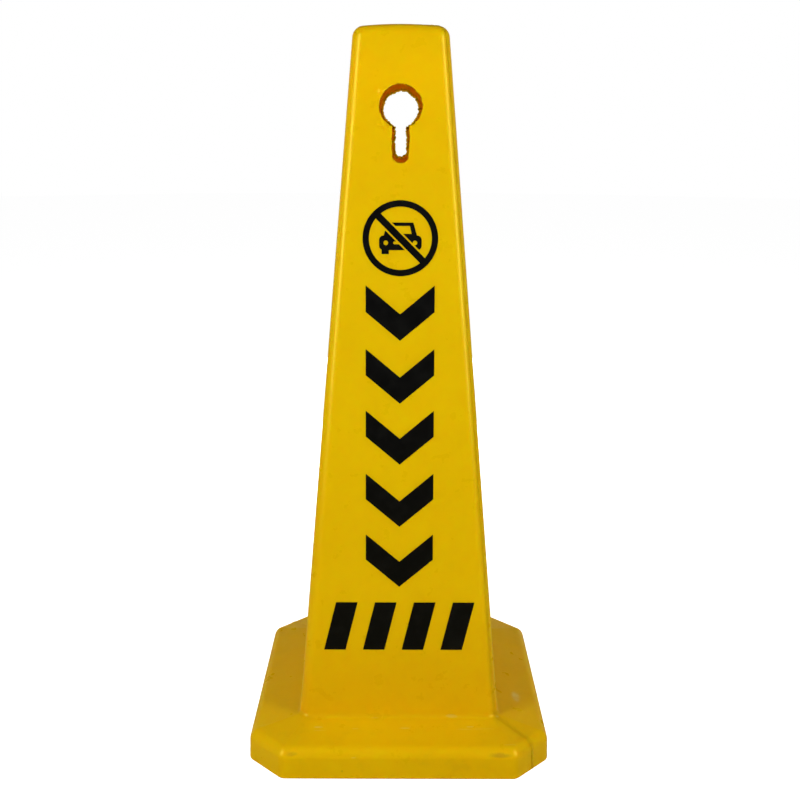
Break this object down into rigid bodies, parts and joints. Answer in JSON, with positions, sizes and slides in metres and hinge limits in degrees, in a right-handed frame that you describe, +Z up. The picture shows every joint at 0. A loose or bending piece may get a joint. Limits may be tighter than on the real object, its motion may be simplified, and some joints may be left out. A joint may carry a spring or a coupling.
{
  "type": "parking cone",
  "caption": "Square tapered parking cone on a low base with cut corners: hollow moulded shell, keyhole grip, black film marks front and back, sand inside and a screw cap underneath.",
  "frame": {"origin": "on the ground, under the middle of the base", "axes": "+Z up the tower; the front face, with the keyhole and marks, looks along -Y; +X to its right"},
  "size_m": [0.2798, 0.2798, 0.672],
  "materials": {
    "yellow_plastic": "satin",
    "sand": "matte",
    "black_plastic": "satin",
    "liner_foam": "matte",
    "black_film": "satin"
  },
  "bodies": {
    "cone": {"cone_body": "yellow_plastic", "sand_ballast": "sand", "front_prohibition_ring": "black_film", "front_car_symbol": "black_film", "front_chevron_1": "black_film", "front_chevron_2": "black_film", "front_chevron_3": "black_film", "front_chevron_4": "black_film", "front_chevron_5": "black_film", "front_bar_1": "black_film", "front_bar_2": "black_film", "front_bar_3": "black_film", "front_bar_4": "black_film", "back_prohibition_ring": "black_film", "back_car_symbol": "black_film", "back_chevron_1": "black_film", "back_chevron_2": "black_film", "back_chevron_3": "black_film", "back_chevron_4": "black_film", "back_chevron_5": "black_film", "back_bar_1": "black_film", "back_bar_2": "black_film", "back_bar_3": "black_film", "back_bar_4": "black_film"},
    "liner": {"cap_liner": "liner_foam"},
    "cap": {"filler_cap": "black_plastic"}
  },
  "joints": [
    {"name": "cap_travel", "type": "slide", "parent": "cone", "child": "liner", "axis": [0, 0, -1], "range_m": [0, 0.012]},
    {"name": "cap_turn", "type": "hinge", "parent": "liner", "child": "cap", "pos_m": [0, 0, 0.015], "axis": [0, 0, -1], "range_deg": [0, 1080]}
  ],
  "couplings": [
    {"joint": "cap_turn", "follows": "cap_travel", "rad_per_m": 1570.8}
  ]
}
